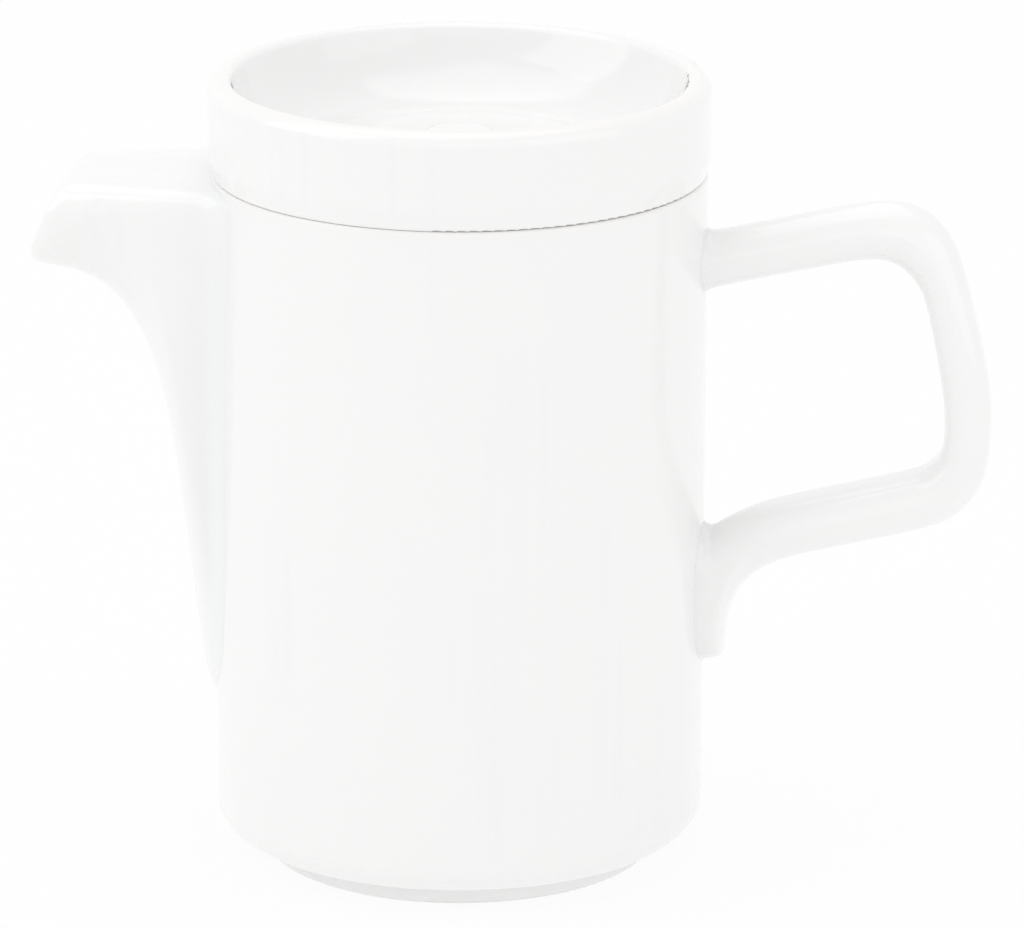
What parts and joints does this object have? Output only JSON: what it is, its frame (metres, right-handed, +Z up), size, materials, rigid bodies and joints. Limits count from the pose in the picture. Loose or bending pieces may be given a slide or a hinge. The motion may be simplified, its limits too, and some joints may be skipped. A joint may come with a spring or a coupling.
{
  "type": "coffee pot",
  "caption": "White porcelain coffee pot with a straight cylindrical body on a foot ring, a covered beak spout, a loop handle and a lift-off dished lid.",
  "frame": {"origin": "centre of the foot ring on the plane the pot stands on", "axes": "+Z up along the body's axis, -X towards the spout's lip, +X towards the handle's grip"},
  "size_m": [0.1549, 0.081, 0.1294],
  "materials": {
    "body_glaze": "glossy white glaze",
    "lid_glaze": "glossy white glaze"
  },
  "bodies": {
    "pot": {"pot_body": "body_glaze", "spout": "body_glaze", "handle": "body_glaze"},
    "lid": {"lid": "lid_glaze", "lid_button": "lid_glaze", "lid_catch": "lid_glaze"}
  },
  "joints": [
    {"name": "lid_lift", "type": "slide", "parent": "pot", "child": "lid", "axis": [0, 0, 1], "range_m": [0, 0.06]}
  ]
}
